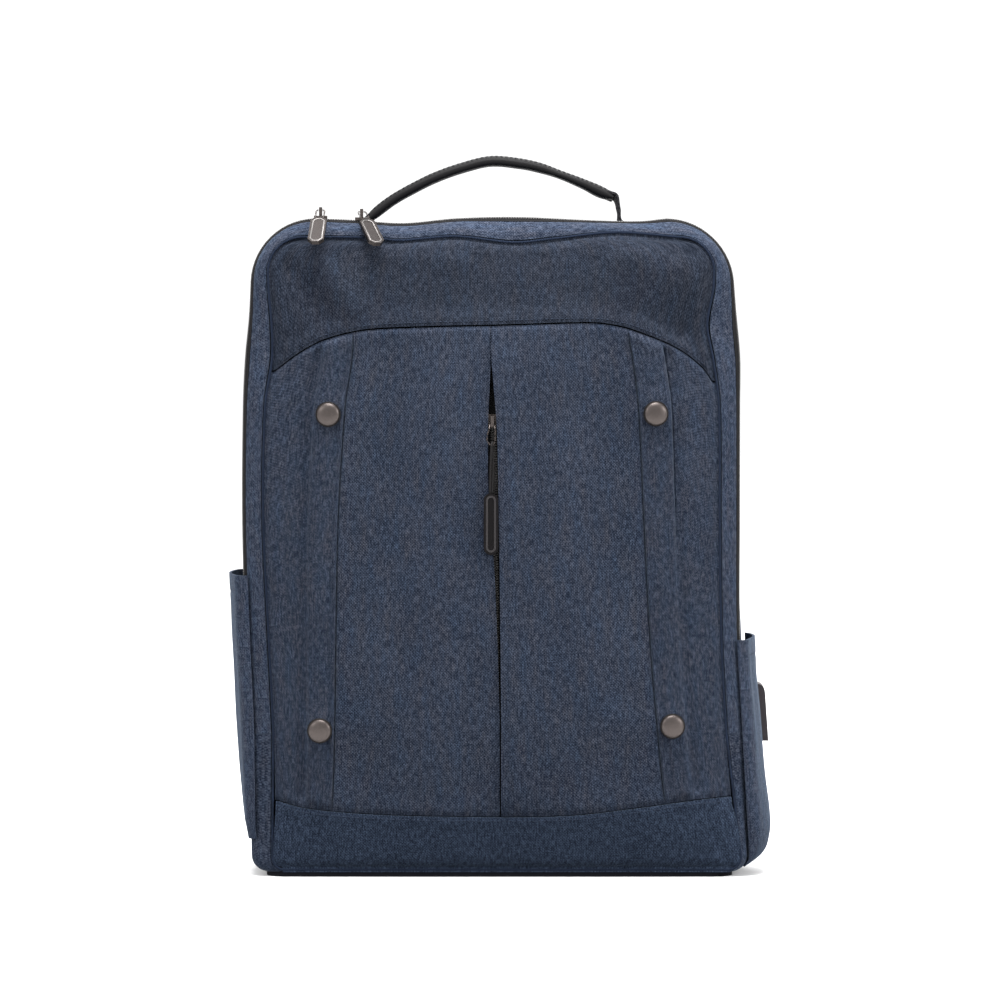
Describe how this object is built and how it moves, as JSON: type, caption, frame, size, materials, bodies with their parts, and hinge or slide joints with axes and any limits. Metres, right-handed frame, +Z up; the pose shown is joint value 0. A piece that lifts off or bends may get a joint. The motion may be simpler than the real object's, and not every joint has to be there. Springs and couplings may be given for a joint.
{
  "type": "laptop backpack",
  "caption": "Slim blue-grey cloth laptop backpack with a zipped main compartment, side pockets, a cable port, a top handle and padded shoulder straps.",
  "frame": {"origin": "middle of the flat underside of the base", "axes": "+Z up, front of the bag towards -Y, +X to the bag's right as seen from the front"},
  "size_m": [0.3468, 0.1697, 0.4566],
  "materials": {
    "cloth_blue": "matt two-tone woven cloth",
    "piping_dark": "matt",
    "zip_black": "matt",
    "mesh_black": "matt spacer mesh",
    "base_black": "matt coated cloth",
    "webbing_black": "matt webbing",
    "handle_black": "satin",
    "plastic_black": "satin",
    "port_dark": "satin",
    "rubber_dark": "matt",
    "cord_black": "matt",
    "gunmetal": "satin gunmetal"
  },
  "bodies": {
    "bag": {"yoke_panel": "cloth_blue", "base_band": "cloth_blue", "front_panel_left": "cloth_blue", "front_panel_right": "cloth_blue", "front_gusset": "cloth_blue", "rear_gusset": "cloth_blue", "side_pocket_left": "cloth_blue", "side_pocket_right": "cloth_blue", "front_piping": "piping_dark", "main_zip": "zip_black", "centre_zip": "zip_black", "back_panel": "mesh_black", "shoulder_strap_left": "mesh_black", "shoulder_strap_right": "mesh_black", "base_panel": "base_black", "handle_strap_left": "webbing_black", "handle_strap_right": "webbing_black", "strap_loop_left": "webbing_black", "strap_loop_right": "webbing_black", "strap_webbing_left": "webbing_black", "strap_webbing_right": "webbing_black", "corner_tab_left": "webbing_black", "corner_tab_right": "webbing_black", "handle_grip": "handle_black", "strap_buckle_left": "plastic_black", "strap_buckle_right": "plastic_black", "cable_port": "port_dark", "puller_grip": "rubber_dark", "puller_cord": "cord_black", "snap_upper_left": "gunmetal", "snap_upper_right": "gunmetal", "snap_lower_left": "gunmetal", "snap_lower_right": "gunmetal", "zip_slider_left": "gunmetal", "zip_slider_right": "gunmetal", "centre_slider": "gunmetal", "puller_ring": "gunmetal"},
    "pull_left": {"pull_link_left": "gunmetal", "pull_tab_left": "gunmetal"},
    "pull_right": {"pull_link_right": "gunmetal", "pull_tab_right": "gunmetal"}
  },
  "joints": [
    {"name": "pull_left_swing", "type": "hinge", "parent": "bag", "child": "pull_left", "pos_m": [-0.108, -0.04385, 0.42349], "axis": [-0.9945, 0.1045, 0], "range_deg": [0, 120]},
    {"name": "pull_right_swing", "type": "hinge", "parent": "bag", "child": "pull_right", "pos_m": [-0.082, -0.04389, 0.42248], "axis": [-0.9205, -0.3907, 0], "range_deg": [0, 120]}
  ]
}
